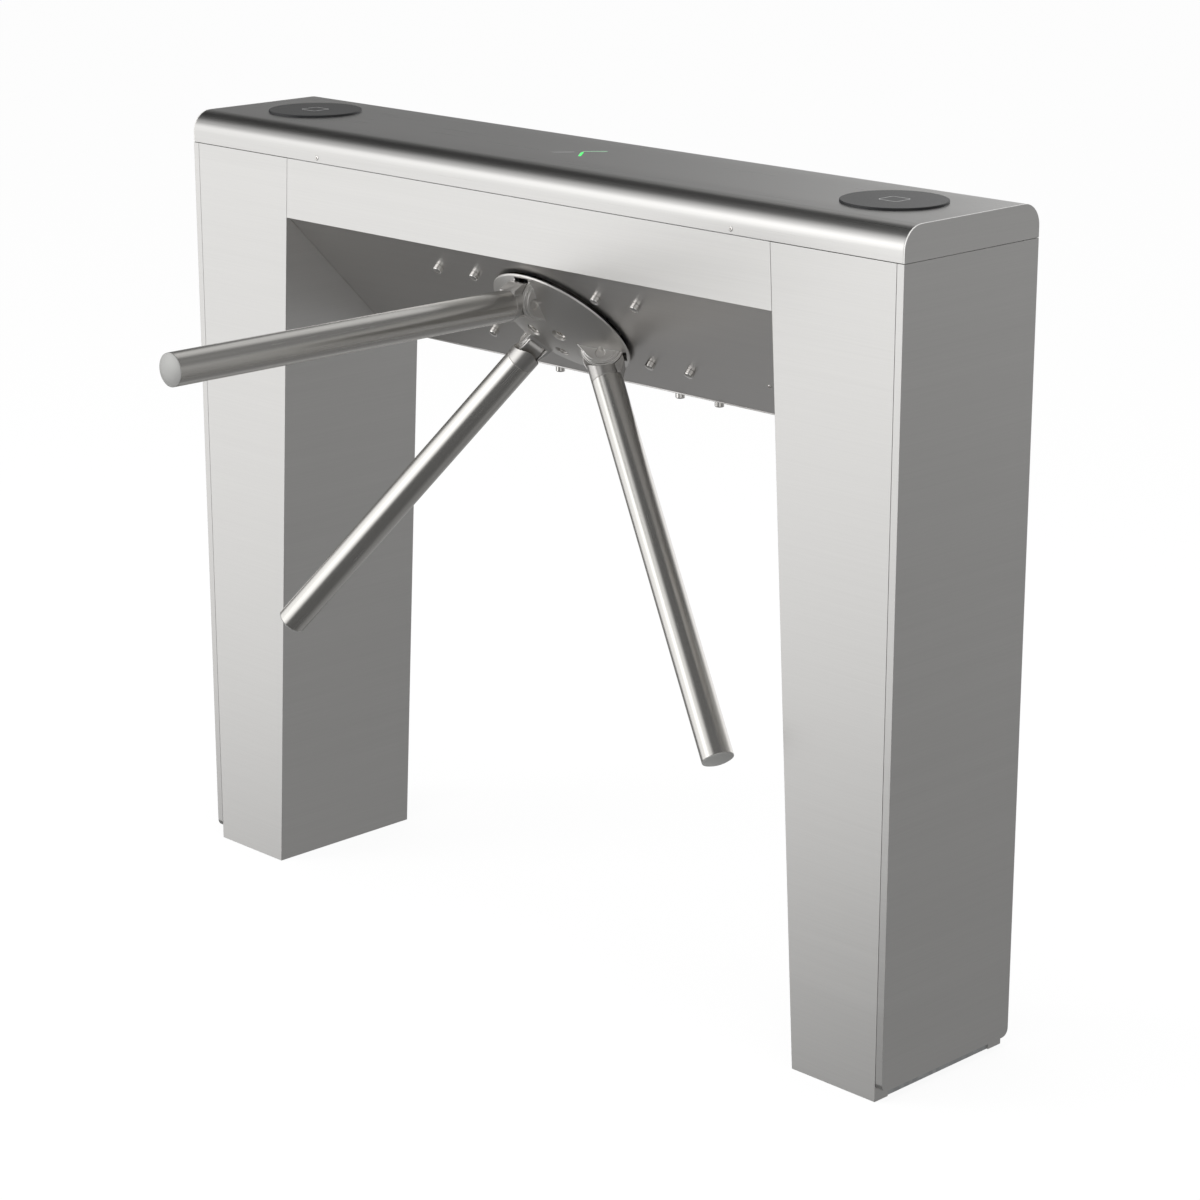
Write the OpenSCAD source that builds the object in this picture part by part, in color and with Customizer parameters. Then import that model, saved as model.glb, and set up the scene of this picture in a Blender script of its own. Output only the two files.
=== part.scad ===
// Tripod turnstile with a bridge cabinet, a sloped drive head and three arms.
// Millimetres, +Z up, arms point to -Y, origin on the floor at the cabinet centre.

/* [Cabinet] */
// Overall length across both end covers
cabinet_length = 1200; // [1160:1300]
// Depth between the front and back faces
cabinet_depth = 226; // [224:232]
// Height from the floor to the lid top
cabinet_height = 998; // [990:1010]
// Height of the lid band seen on the front face
lid_band = 39.5; // [36:44]
// Bend radius along the long lid edges
lid_radius = 27; // [20:30]
// Gap between the lid and the panels below it
seam_gap = 0.5; // [0.3:0.1:1]
// Sheet thickness of the cabinet
sheet = 2; // [1.5:0.5:2]

/* [Legs] */
// Width of a leg at the lid
leg_top_width = 189.5; // [180:0.5:200]
// Width of a leg at the floor
leg_foot_width = 136; // [128:145]
// Depth of the end cover pans
cover_depth = 10; // [8:12]
// Height of the end covers above the floor
cover_lift = 14; // [12:16]
// Thickness of the floor plates
foot_plate = 6; // [5:8]
// Anchor hole diameter
anchor_hole = 14; // [12:16]
// Distance of the outer anchor holes from the cabinet end
anchor_edge = 35; // [32:40]
// Distance between the two rows of anchor holes
anchor_pitch = 75; // [66:77]
// Anchor hole distance from the centre line
anchor_y = 80; // [76:84]

/* [Bridge] */
// Distance from the lid top down to the drive head centre
head_drop = 198; // [186:240]
// Distance from the head centre up to the fascia edge
panel_above = 82; // [81:83]
// Distance from the head centre down to the flat panel
panel_below = 88; // [86:94]
// Step between the fascia edge and the sloped panel
slope_inset = 2.8; // [2:0.1:3.4]
// Thickness of the sloped panel
slope_plate = 3; // [3:4]
// Hole in the sloped panel behind the drive head
slope_hole = 182; // [181:184]

/* [Drive head] */
// Diameter of the head disc
disc_diameter = 190; // [188:192]
// Height of the disc rim above the sloped panel
disc_lift = 4.5; // [4:0.5:5]
// Height of the dome top above the sloped panel
dome_top = 31.5; // [31:0.5:32]
// Radius where the dome meets the disc
dome_edge = 93; // [92:93]
// Depth of the point where the arm axes meet
apex_depth = 41.9; // [41:0.1:43]
// Distance from that point to the arm pins
arm_pin_at = 94; // [93:95]
// Diameter of the arm pins
arm_pin = 12; // [11.8:0.1:12]
// Width of the arm tongue between its ears
tongue_width = 22; // [21.5:0.5:22]
// Distance from the apex to the tube start
tube_start = 123; // [122:125]
// Distance from the apex to the arm tip
arm_reach = 617; // [560:640]
// Outside diameter of the arm tubes
tube_diameter = 38; // [38:38.2]
// Wall of the arm tubes
tube_wall = 2; // [1.8:0.1:2.2]

/* [Readers and light] */
// Reader disc diameter
reader_diameter = 120; // [116:124]
// Distance of a reader's centre from the cabinet end
reader_inset = 111; // [100:120]
// Reader disc height above the lid
reader_lift = 2.5; // [2:0.5:3]

/* [Mechanism] */
// Radius of the lock wheel
wheel_radius = 66; // [65:66]
// Number of notches in the lock wheel
wheel_notches = 12; // [12:1:12]
// Running clearance of shafts and pins
running_gap = 0.05; // [0.03:0.01:0.08]
// Clearance of bolts in their holes
bolt_gap = 0.3; // [0.25:0.05:0.4]

/* [Hidden] */
$fn = 48;
half_length = cabinet_length / 2;
face_y = cabinet_depth / 2;
lid_seam = cabinet_height - lid_band;
panel_top = lid_seam - seam_gap;
cover_x = half_length - cover_depth;
leg_edge = cover_x - 0.3;
inside_y = face_y - sheet;
leg_top_x = half_length - leg_top_width;
leg_foot_x = half_length - leg_foot_width;
anchor_outer_x = half_length - anchor_edge;
anchor_inner_x = anchor_outer_x - anchor_pitch;
head_z = cabinet_height - head_drop;
fascia_bottom = head_z + panel_above;
bridge_bottom = head_z - panel_below;
reader_x = half_length - reader_inset;
lid_screw_x = leg_top_x - 58.5;
back_screw_x = [leg_top_x - 30.5, 130];
slope_screw_x = leg_top_x - 112.5;
slope_sum = fascia_bottom - face_y + slope_inset * sqrt(2);
head_y = slope_sum - head_z;
slope_upper = (head_y + inside_y - 0.1) * sqrt(2);
slope_lower = (bridge_bottom + sheet + 0.1 - head_z) * sqrt(2);
bridge_front = slope_sum - bridge_bottom - sheet + 0.6;
pin_r = arm_pin_at / sqrt(2);
pin_z = pin_r - apex_depth;
ear_r = pin_r - 5.5;
ear_z = pin_z - 10.1;
flange_r = ear_r + 2.5;
flange_z = ear_z + 1;
flange_radius = 25.5;
flange_y = (flange_r - pin_r - flange_z + pin_z) / sqrt(2);
flange_at = arm_pin_at + (flange_r - pin_r + flange_z - pin_z) / sqrt(2);
dome_height = dome_top - disc_lift - 3;
dome_radius = (dome_edge * dome_edge + dome_height * dome_height) / (2 * dome_height);
bolt_x = [104, 169];
bolt_y = [67, -63];
chassis_z = -66;
wheel_z = -112;
pawl_x = 74;
pawl_y = -52;
link_y = 34;
nut_r = 7.4;
chassis_half = 182;
chassis_low = -(inside_y - 12.2 - head_y) * sqrt(2) - chassis_z;
board_gap = (leg_top_x - chassis_half) * 0.12;
board_left = chassis_half + board_gap;
board_width = leg_top_x - chassis_half - 2.5 * board_gap;

function inner_x(z) = leg_foot_x + (leg_top_x - leg_foot_x) * z / lid_seam;

// A box given by its two opposite corners.
module span(from, to) {
  translate(from)
    cube(to - from);
}

// Extrudes an XZ outline between two Y values.
module along_y(y0, y1) {
  translate([0, y1, 0])
    rotate([90, 0, 0])
      linear_extrude(height = y1 - y0)
        children();
}

// Extrudes a YZ outline between two X values.
module along_x(x0, x1) {
  translate([x0, 0, 0])
    rotate([90, 0, 90])
      linear_extrude(height = x1 - x0)
        children();
}

// A cylinder along X with its centre at x.
module bar_x(x, y, z, r, h) {
  translate([x - h / 2, y, z])
    rotate([0, 90, 0])
      cylinder(r = r, h = h);
}

// A ring along Z between two heights.
module ring(z0, z1, r_out, r_in) {
  difference() {
    translate([0, 0, z0])
      cylinder(r = r_out, h = z1 - z0);
    translate([0, 0, z0 - 1])
      cylinder(r = r_in, h = z1 - z0 + 2);
  }
}

// Puts a part on the sloped head, with +Z out of the panel and +Y up the slope.
module on_head() {
  translate([0, head_y, head_z])
    rotate([135, 0, 0])
      children();
}

// Puts a part on one arm: +Z runs along the arm from the apex.
module on_arm(turn) {
  on_head()
    translate([0, 0, -apex_depth])
      rotate([0, 0, 120 * turn])
        rotate([-45, 0, 0])
          children();
}

// One side of the cabinet mirrored to the other.
module left_side() {
  mirror([1, 0, 0])
    children();
}

module both_sides() {
  children();
  left_side()
    children();
}

module leg_outline(inset, edge, z0, z1) {
  polygon([
    [inner_x(z0) + inset, z0], [edge, z0],
    [edge, z1], [inner_x(z1) + inset, z1]
  ]);
}

module leg() {
  difference() {
    along_y(-face_y, face_y)
      leg_outline(0, leg_edge, 0, panel_top);
    along_y(-inside_y, inside_y)
      leg_outline(sheet, leg_edge + 1, -1, panel_top + 1);
    // Cable passage between the leg and the bridge
    span([leg_top_x - 10, -45, fascia_bottom - 42], [leg_top_x + 19, 45, fascia_bottom + 28]);
  }
  for (side = [-1, 1])
    span(
      [leg_edge - sheet, side > 0 ? 90 : -inside_y - 0.5, 0],
      [leg_edge, side > 0 ? inside_y + 0.5 : -90, panel_top]
    );
  // Straps that hold the end cover
  for (z = [cover_lift + 2, panel_top - 78])
    span([leg_edge - sheet, -91, z], [leg_edge, 91, z + 34]);
  difference() {
    span([leg_edge - 0.5, -70, cover_lift + 5], [half_length - 3, 70, cover_lift + 7.5]);
    for (y = [-50, 50])
      translate([cover_x + 5, y, cover_lift])
        cylinder(r = 2 + bolt_gap, h = 10);
  }
}

module leg_left() {
  color("#c9c7c4")
    left_side()
      leg();
}

module leg_right() {
  color("#c9c7c4")
    leg();
}

module base_plate() {
  difference() {
    span([leg_foot_x + 3, -inside_y, 0], [leg_edge - sheet, inside_y, foot_plate]);
    for (x = [anchor_inner_x, anchor_outer_x])
      for (y = [-anchor_y, anchor_y])
        translate([x, y, -1])
          cylinder(d = anchor_hole, h = foot_plate + 2);
    // Cable entry
    span([half_length - 95, -45, -1], [half_length - 50, 45, foot_plate + 1]);
  }
}

module base_plates() {
  color("#8f8f8d")
    both_sides()
      base_plate();
}

module cover_outline(grow, z0, z1, corner) {
  y = face_y + grow;
  span2([-y, z0 + corner], [y, z1]);
  span2([-y + corner, z0], [y - corner, z0 + corner + 1]);
  for (side = [-1, 1])
    translate([side * (y - corner), z0 + corner])
      circle(r = corner);
}

module span2(from, to) {
  translate(from)
    square(to - from);
}

module end_cover() {
  skin = 1.5;
  difference() {
    along_x(cover_x, half_length)
      cover_outline(0, cover_lift, panel_top, 10);
    along_x(cover_x - 1, half_length - skin)
      cover_outline(-skin, cover_lift + skin, panel_top - skin, 10 - skin);
    for (y = [-50, 50])
      translate([cover_x + 5, y, cover_lift - 1])
        cylinder(r = 2.3, h = 4);
  }
}

module end_cover_left() {
  color("#8d8d8b")
    left_side()
      end_cover();
}

module end_cover_right() {
  color("#8d8d8b")
    end_cover();
}

module cover_screws() {
  color("#b9b9b7")
    both_sides()
      for (y = [-50, 50])
        translate([cover_x + 5, y, cover_lift - 1.5]) {
          cylinder(r = 3.5, h = 1.5);
          cylinder(r = 2, h = 10.5);
        }
}

module bridge_outline(z0, z1) {
  polygon([
    [-inner_x(z0) + 0.3, z0], [inner_x(z0) - 0.3, z0],
    [inner_x(z1) - 0.3, z1], [-inner_x(z1) + 0.3, z1]
  ]);
}

module front_fascia() {
  lip_y = -inside_y + 1.6;
  lip_z = slope_sum + slope_plate * sqrt(2) - lip_y + 0.05;
  color("#dddbd8") {
    along_y(-face_y, -inside_y)
      bridge_outline(fascia_bottom, panel_top);
    // Lip that carries the upper edge of the sloped panel
    along_x(10 - leg_top_x, leg_top_x - 10)
      polygon([
        [-inside_y - 0.5, lip_z], [lip_y, lip_z], [lip_y + 18, lip_z - 18],
        [lip_y + 19.4, lip_z - 16.6], [lip_y + 0.8, lip_z + 2], [-inside_y - 0.5, lip_z + 2]
      ]);
  }
}

module slope_panel() {
  top_half = inner_x(head_z + slope_upper / sqrt(2)) - 0.4;
  low_half = inner_x(head_z + slope_lower / sqrt(2)) - 0.4;
  color("#7b7a78")
    on_head()
      difference() {
        translate([0, 0, -slope_plate])
          linear_extrude(height = slope_plate)
            polygon([
              [-low_half, slope_lower], [low_half, slope_lower],
              [top_half, slope_upper], [-top_half, slope_upper]
            ]);
        translate([0, 0, -slope_plate - 1])
          cylinder(d = slope_hole, h = slope_plate + 2, $fn = 96);
        for (x = bolt_x, y = bolt_y, side = [-1, 1])
          translate([side * x, y, -slope_plate - 1])
            cylinder(r = 4 + bolt_gap, h = slope_plate + 2);
        for (side = [-1, 1])
          translate([side * slope_screw_x, -58, -slope_plate - 1])
            cylinder(r = 2 + bolt_gap, h = slope_plate + 2);
      }
}

module bottom_panel() {
  half = inner_x(bridge_bottom) - 0.6;
  color("#9a9997") {
    difference() {
      span([-half, bridge_front, bridge_bottom], [half, inside_y, bridge_bottom + sheet]);
      for (x = bolt_x, side = [-1, 1])
        translate([side * x, bridge_front + 8, bridge_bottom - 1])
          cylinder(r = 4 + bolt_gap, h = sheet + 2);
    }
    // Upright flange behind the back panel screws
    difference() {
      span(
        [10 - leg_top_x, inside_y - sheet, bridge_bottom + 1],
        [leg_top_x - 10, inside_y, bridge_bottom + 24]
      );
      for (x = back_screw_x, side = [-1, 1])
        translate([side * x, inside_y - sheet - 1, bridge_bottom + 14])
          rotate([-90, 0, 0])
            cylinder(r = 2 + bolt_gap, h = sheet + 2);
    }
  }
}

module back_panel() {
  color("#c4c2bf")
    difference() {
      along_y(inside_y, face_y)
        bridge_outline(bridge_bottom, panel_top);
      for (x = back_screw_x, side = [-1, 1])
        translate([side * x, inside_y - 1, bridge_bottom + 14])
          rotate([-90, 0, 0])
            cylinder(r = 2 + bolt_gap, h = sheet + 2);
    }
}

module panel_screws() {
  color("#b9b9b7") {
    on_head()
      for (side = [-1, 1])
        translate([side * slope_screw_x, -58, -slope_plate - 3]) {
          cylinder(r = 2, h = slope_plate + 3.5);
          translate([0, 0, slope_plate + 3])
            cylinder(r = 3.5, h = 1.6);
        }
    for (x = back_screw_x, side = [-1, 1])
      translate([side * x, face_y, bridge_bottom + 14])
        rotate([90, 0, 0]) {
          cylinder(r = 2, h = sheet + 1.5);
          translate([0, 0, -1.2])
            cylinder(r = 3.5, h = 1.2);
        }
  }
}

module rail() {
  color("#a3a2a0") {
    difference() {
      span(
        [5 - leg_top_x, inside_y - sheet, panel_top - 30],
        [leg_top_x - 5, inside_y, cabinet_height - 27]
      );
      for (side = [-1, 1])
        translate([side * lid_screw_x, inside_y + 1, lid_seam + 6])
          rotate([90, 0, 0])
            cylinder(r = 2 + bolt_gap, h = sheet + 2);
    }
    span([5 - leg_top_x, inside_y - 26, panel_top - 32], [leg_top_x - 5, inside_y, panel_top - 30]);
  }
}

module bridge_rails() {
  rail();
  mirror([0, 1, 0])
    rail();
}

module panel_supports() {
  color("#a3a2a0")
    on_head()
      both_sides()
        difference() {
          union() {
            span([slope_screw_x - 12, -82, -slope_plate - 3], [leg_top_x, 82, -slope_plate]);
            span(
              [slope_screw_x - 12, -82, -slope_plate - 24],
              [slope_screw_x - 9, 82, -slope_plate - 2.5]
            );
          }
          translate([slope_screw_x, -58, -slope_plate - 4])
            cylinder(r = 2 + bolt_gap, h = 6);
        }
}

module lid_outline(inset) {
  y = face_y - inset;
  z = cabinet_height - inset;
  r = lid_radius - inset;
  span2([-y, lid_seam - inset], [y, z - r]);
  intersection() {
    union() {
      span2([-y + r, lid_seam], [y - r, z]);
      for (side = [-1, 1])
        translate([side * (y - r), z - r])
          circle(r = r, $fn = 96);
    }
    span2([-y - 1, z - r - 0.5], [y + 1, z + 1]);
  }
}

module light_stroke(ax, ay, bx, by, w, z0, z1) {
  length = norm([bx - ax, by - ay]);
  translate([ax, ay, z0])
    rotate([0, 0, atan2(by - ay, bx - ax)])
      span([0, -w / 2, 0], [length, w / 2, z1 - z0]);
}

module light_strokes(grow, z0, z1) {
  light_stroke(-24, -22, -5, -3, 3 + grow, z0, z1);
  light_stroke(-2, 7, 19, 28, 3 + grow, z0, z1);
  light_stroke(2.2, 2.6, 21, -21, 3 + grow, z0, z1);
}

module lid() {
  color("#8a8a89")
    difference() {
      along_x(-half_length + sheet, half_length - sheet)
        lid_outline(0);
      along_x(-half_length, half_length)
        lid_outline(sheet);
      for (side = [-1, 1])
        translate([side * reader_x, 0, cabinet_height - 10])
          cylinder(r = 56, h = 20, $fn = 96);
      light_strokes(0.6, cabinet_height - 10, cabinet_height + 1);
      for (side = [-1, 1])
        translate([side * lid_screw_x, face_y + 1, lid_seam + 6])
          rotate([90, 0, 0])
            cylinder(r = 2 + bolt_gap, h = cabinet_depth + 2);
    }
}

module lid_ends() {
  color("#8d8d8b")
    both_sides()
      along_x(half_length - sheet, half_length)
        lid_outline(0);
}

module lid_screws() {
  color("#b9b9b7")
    for (x = [-lid_screw_x, lid_screw_x], side = [-1, 1])
      translate([x, side * face_y, lid_seam + 6])
        rotate([side * 90, 0, 0]) {
          cylinder(r = 2, h = sheet * 2 + 1);
          translate([0, 0, -1.2])
            cylinder(r = 3.5, h = 1.2);
        }
}

module reader_disc() {
  translate([reader_x, 0, cabinet_height]) {
    cylinder(d = reader_diameter, h = reader_lift - 0.6, $fn = 96);
    translate([0, 0, reader_lift - 0.6])
      cylinder(d1 = reader_diameter, d2 = reader_diameter - 1.2, h = 0.6, $fn = 96);
    translate([0, 0, -6])
      cylinder(r = 55.7, h = 6.5, $fn = 96);
  }
}

module reader_disc_left() {
  color("#4a4a4a")
    left_side()
      reader_disc();
}

module reader_disc_right() {
  color("#4a4a4a")
    reader_disc();
}

// Antenna box under the disc with a clamp flange against the lid.
module reader_module() {
  z = cabinet_height - sheet;
  translate([reader_x, 0, 0]) {
    difference() {
      span([-66, -66, z - 3], [66, 66, z]);
      translate([0, 0, z - 4])
        cylinder(r = 56, h = 6, $fn = 96);
    }
    span([-62, -45, z - 26], [62, 45, z - 4]);
    span([-66, -12, z - 16], [-61.5, 12, z - 2.5]);
    span([61.5, -12, z - 16], [66, 12, z - 2.5]);
  }
}

module reader_module_left() {
  color("#2f3133")
    left_side()
      reader_module();
}

module reader_module_right() {
  color("#2f3133")
    reader_module();
}

module indicator_lens() {
  color("#4ad96a") {
    light_strokes(0, cabinet_height - sheet - 0.5, cabinet_height);
    span([-32, -32, cabinet_height - sheet - 3], [32, 36, cabinet_height - sheet]);
  }
}

module indicator_board() {
  z = cabinet_height - sheet - 3;
  color("#2c6b3f") {
    span([-36, -30, z - 9.6], [36, 34, z - 8]);
    for (x = [-28, 28], y = [-24, 28])
      translate([x, y, z - 8.2])
        cylinder(r = 3, h = 8.2);
    for (p = [[-14, -12], [8, 17], [12, -10]])
      translate([p[0], p[1], z - 8.2])
        cylinder(r = 2.5, h = 4);
  }
}

module chassis_plate() {
  color("#b0a27a")
    on_head()
      difference() {
        span([-chassis_half, chassis_low, chassis_z], [chassis_half, 98, chassis_z + 6]);
        translate([0, 0, chassis_z - 1])
          cylinder(r = 38.3, h = 8);
        for (x = bolt_x, y = bolt_y, side = [-1, 1])
          translate([side * x, y, chassis_z - 1])
            cylinder(r = 4 + bolt_gap, h = 8);
        for (a = [0:60:300])
          rotate([0, 0, a])
            translate([53, 0, chassis_z - 1])
              cylinder(r = 4 + bolt_gap, h = 8);
      }
}

module chassis_spacers() {
  color("#9c9c9a")
    on_head()
      for (x = bolt_x, y = bolt_y, side = [-1, 1])
        translate([side * x, y, 0])
          ring(chassis_z + 6, -slope_plate, 9, 4 + bolt_gap);
}

module chassis_brackets() {
  foot_z = bridge_bottom + sheet;
  face_sum = slope_sum - (chassis_z + 6) * sqrt(2);
  color("#b0a27a")
    both_sides()
      difference() {
        union() {
          span([90, bridge_front + 2.2, foot_z], [184, inside_y - 5, foot_z + 5]);
          along_x(134, 140)
            polygon([
              [bridge_front + 2.4, foot_z + 4], [106, foot_z + 4],
              [106, face_sum - 106], [78, face_sum - 78]
            ]);
          along_x(92, 182)
            polygon([
              [106, face_sum - 106], [84, face_sum - 84],
              [80.5, face_sum - 87.5], [102.5, face_sum - 109.5]
            ]);
        }
        for (x = bolt_x)
          translate([x, bridge_front + 8, foot_z - 1])
            cylinder(r = 4 + bolt_gap, h = 7);
      }
}

module dome_bolt(length) {
  rotate_extrude()
    polygon([[0, 0], [6, 0], [6, 6], [5.2, 7], [3, 7.6], [0, 7.8]]);
  translate([0, 0, -length])
    cylinder(r = 4, h = length + 0.5);
}

module head_bolts() {
  color("#d9d7d4") {
    on_head()
      for (x = bolt_x, y = bolt_y, side = [-1, 1])
        translate([side * x, y, 0])
          dome_bolt(76);
    for (x = bolt_x, side = [-1, 1])
      translate([side * x, bridge_front + 8, bridge_bottom])
        rotate([180, 0, 0])
          dome_bolt(15);
  }
}

module hex_nut(height) {
  difference() {
    cylinder(r = nut_r, h = height, $fn = 6);
    translate([0, 0, -1])
      cylinder(r = 4 + bolt_gap, h = height + 2);
  }
}

module head_nuts() {
  color("#b9b9b7") {
    on_head()
      for (x = bolt_x, y = bolt_y, side = [-1, 1])
        translate([side * x, y, chassis_z - 6.5])
          hex_nut(6.5);
    for (x = bolt_x, side = [-1, 1])
      translate([side * x, bridge_front + 8, bridge_bottom + sheet + 5])
        rotate([0, 0, 30])
          hex_nut(6.5);
  }
}

module bearing_housing() {
  color("#8e9092")
    on_head()
      difference() {
        union() {
          translate([0, 0, chassis_z + 6])
            cylinder(r = 43, h = 36);
          translate([0, 0, -93])
            cylinder(r = 38, h = 40);
          translate([0, 0, chassis_z + 6])
            cylinder(r = 62, h = 10);
        }
        translate([0, 0, -42])
          cylinder(r = 31 + running_gap, h = 20);
        translate([0, 0, -94])
          cylinder(r = 31 + running_gap, h = 20);
        translate([0, 0, -75])
          cylinder(r = 27, h = 34);
        for (a = [0:60:300])
          rotate([0, 0, a])
            translate([53, 0, chassis_z])
              cylinder(r = 4 + bolt_gap, h = 20);
      }
}

module housing_bolts() {
  color("#3b3c3e")
    on_head()
      for (a = [0:60:300])
        rotate([0, 0, a])
          translate([53, 0, 0]) {
            translate([0, 0, chassis_z + 16])
              cylinder(r = 6.5, h = 6);
            translate([0, 0, chassis_z - 9])
              cylinder(r = 4, h = 25.5);
            translate([0, 0, chassis_z - 6.5])
              hex_nut(6.5);
          }
}

module bearing_outer_rings() {
  color("#c8c9cb")
    on_head()
      for (z = [-42, -90])
        translate([0, 0, z]) {
          ring(0, 16, 31, 27);
          ring(1, 15, 27.5, 20 + running_gap);
        }
}

module bearing_inner_rings() {
  color("#d6d7d9")
    on_head()
      for (z = [-42, -90])
        translate([0, 0, z])
          ring(0, 16, 20, 15 + running_gap);
}

module main_shaft() {
  color("#a9abad")
    on_head()
      difference() {
        rotate_extrude()
          polygon([
            [0, -12], [39.9, -12], [39.9, -20], [18, -20], [18, -26], [15, -26],
            [15, -90], [14, -90], [14, -122], [8, -122], [8, -150], [0, -150]
          ]);
        for (a = [60:120:300])
          rotate([0, 0, 90 + a])
            translate([25, 0, -21])
              cylinder(r = 5 + bolt_gap, h = 12);
      }
}

module shaft_sleeve() {
  color("#b5b6b8")
    on_head()
      ring(-74, -42, 18, 15 + running_gap);
}

module shaft_nuts() {
  color("#b9b9b7")
    on_head() {
      ring(-97, -90, 22, 14 + running_gap);
      ring(-119, -112, 22, 14 + running_gap);
    }
}

// One step of an ear pair: a round boss beside the arm pin, faired into the dome.
module ear(half, r, z, radius) {
  intersection() {
    bar_x(0, r, z, radius, 2 * half);
    span([-30, 20, disc_lift + 1.2], [30, 92, 60]);
  }
  along_x(-half, half)
    polygon([
      [30, 25.5], [ear_r - 10.8, ear_z + 18], [ear_r + 3, ear_z + 1.5],
      [ear_r - 1, disc_lift + 1.6], [34, disc_lift + 1.6]
    ]);
}

// Room for the tongue of an arm and for the heel as the arm drops.
module arm_slot() {
  low = pin_z - 13.3;
  along_x(-tongue_width / 2 - 0.4, tongue_width / 2 + 0.4)
    polygon([
      [pin_r - 4.7, low], [pin_r - 54.7, low + 50],
      [pin_r + 64.7, low + 60], [pin_r + 4.7, low]
    ]);
  along_x(-tongue_width / 2 - 0.4, tongue_width / 2 + 0.4)
    polygon([
      [pin_r, pin_z - 1], [pin_r, pin_z], [pin_r + 28, pin_z + 28],
      [pin_r + 47, pin_z + 9], [pin_r + 28, pin_z - 1]
    ]);
  intersection() {
    bar_x(0, pin_r, pin_z, 30.2, tongue_width + 0.8);
    along_x(-20, 20)
      polygon([
        [pin_r - 4.2, pin_z + 4.2], [pin_r - 44.2, pin_z - 35.8],
        [pin_r + 44, pin_z - 36], [pin_r + 44, pin_z], [pin_r, pin_z]
      ]);
  }
}

module hub_casting() {
  color("#6c6b69")
    on_head()
      difference() {
        union() {
          translate([0, 0, disc_lift])
            cylinder(d = disc_diameter, h = 1, $fn = 96);
          translate([0, 0, disc_lift + 1])
            cylinder(d1 = disc_diameter, d2 = disc_diameter - 4, h = 2, $fn = 96);
          intersection() {
            translate([0, 0, dome_top - dome_radius])
              sphere(r = dome_radius, $fn = 96);
            translate([0, 0, disc_lift + 2.2])
              cylinder(r = 110, h = 40);
          }
          translate([0, 0, -12])
            cylinder(r = 40, h = 18);
          for (k = [0, 1, 2])
            rotate([0, 0, 120 * k]) {
              ear(13.5, flange_r, flange_z, flange_radius);
              ear(15.5, (flange_r + ear_r) / 2, (flange_z + ear_z) / 2, (flange_radius + 21) / 2);
              ear(17, ear_r, ear_z, 21);
            }
        }
        for (k = [0, 1, 2])
          rotate([0, 0, 120 * k]) {
            arm_slot();
            bar_x(0, pin_r, pin_z, arm_pin / 2 + running_gap, 60);
          }
        for (a = [60:120:300])
          rotate([0, 0, 90 + a])
            translate([25, 0, 0]) {
              translate([0, 0, 19])
                cylinder(r = 9, h = 20);
              translate([0, 0, -13])
                cylinder(r = 5 + bolt_gap, h = 34);
            }
      }
}

module hub_screws() {
  color("#8b8b8a")
    on_head()
      for (a = [60:120:300])
        rotate([0, 0, 90 + a])
          translate([25, 0, 0]) {
            difference() {
              translate([0, 0, 19])
                cylinder(r = 8, h = 8);
              translate([0, 0, 23])
                cylinder(r = 4.6, h = 5, $fn = 6);
            }
            translate([0, 0, -19.5])
              cylinder(r = 5, h = 39);
          }
}

module arm_pins() {
  color("#b9b9b7")
    for (k = [0, 1, 2])
      on_arm(k)
        bar_x(0, 0, arm_pin_at, arm_pin / 2, 31);
}

// Side of the stop lug, from its low edge by the ears to its slanted end.
function lug_side() = [
  [10, arm_pin_at], [23, arm_pin_at], [25.5, arm_pin_at + 2.5],
  [25.5, arm_pin_at + 15], [18.5, tube_start - 0.5], [10, tube_start - 0.5]
];

// Cast root of an arm: tongue, heel, shoulders, stop lug and the plug inside the tube.
// The shoulders follow the ears. A drop root is cut back where it would meet them as it drops.
module arm_root(drop) {
  half = tongue_width / 2;
  difference() {
    union() {
      span([-half, -12, arm_pin_at], [half, 12, tube_start + 1]);
      bar_x(0, 0, arm_pin_at, 12, tongue_width);
      span([-half, -5, arm_pin_at - 29], [half, 5, arm_pin_at]);
      along_x(-half, half)
        polygon(lug_side());
      difference() {
        union() {
          translate([0, 0, arm_pin_at])
            cylinder(d = tube_diameter, h = tube_start - arm_pin_at);
          intersection() {
            along_x(-13, 13)
              polygon(lug_side());
            span([-20, 0, arm_pin_at + 9], [20, 30, tube_start]);
          }
        }
        bar_x(0, flange_y, flange_at, flange_radius + 0.8, 50);
        if (drop) {
          bar_x(0, 0, arm_pin_at, 20.6, 50);
          along_x(-30, 30)
            polygon([
              [4, arm_pin_at], [4, arm_pin_at + 20.2], [-4, arm_pin_at + 21.8],
              [-14, arm_pin_at + 22.6], [-20, arm_pin_at + 25.6],
              [-30, arm_pin_at + 25.6], [-30, arm_pin_at]
            ]);
        }
      }
      translate([0, 0, tube_start - 0.5])
        cylinder(r = tube_diameter / 2 - tube_wall - running_gap, h = 34);
    }
    bar_x(0, 0, arm_pin_at, arm_pin / 2 + running_gap, 60);
    translate([0, 15, arm_pin_at + 12])
      rotate([-90, 0, 0])
        cylinder(r = 2, h = 20);
  }
}

module arm_root_front() {
  color("#8f8e8b")
    on_arm(0)
      arm_root(true);
}

module arm_root_left() {
  color("#8f8e8b")
    on_arm(1)
      arm_root(false);
}

module arm_root_right() {
  color("#8f8e8b")
    on_arm(2)
      arm_root(false);
}

module arm_tube() {
  ring(tube_start, arm_reach, tube_diameter / 2, tube_diameter / 2 - tube_wall);
}

module arm_tube_front() {
  color("#c6c5c2")
    on_arm(0)
      arm_tube();
}

module arm_tube_left() {
  color("#c6c5c2")
    on_arm(1)
      arm_tube();
}

module arm_tube_right() {
  color("#c6c5c2")
    on_arm(2)
      arm_tube();
}

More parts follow.
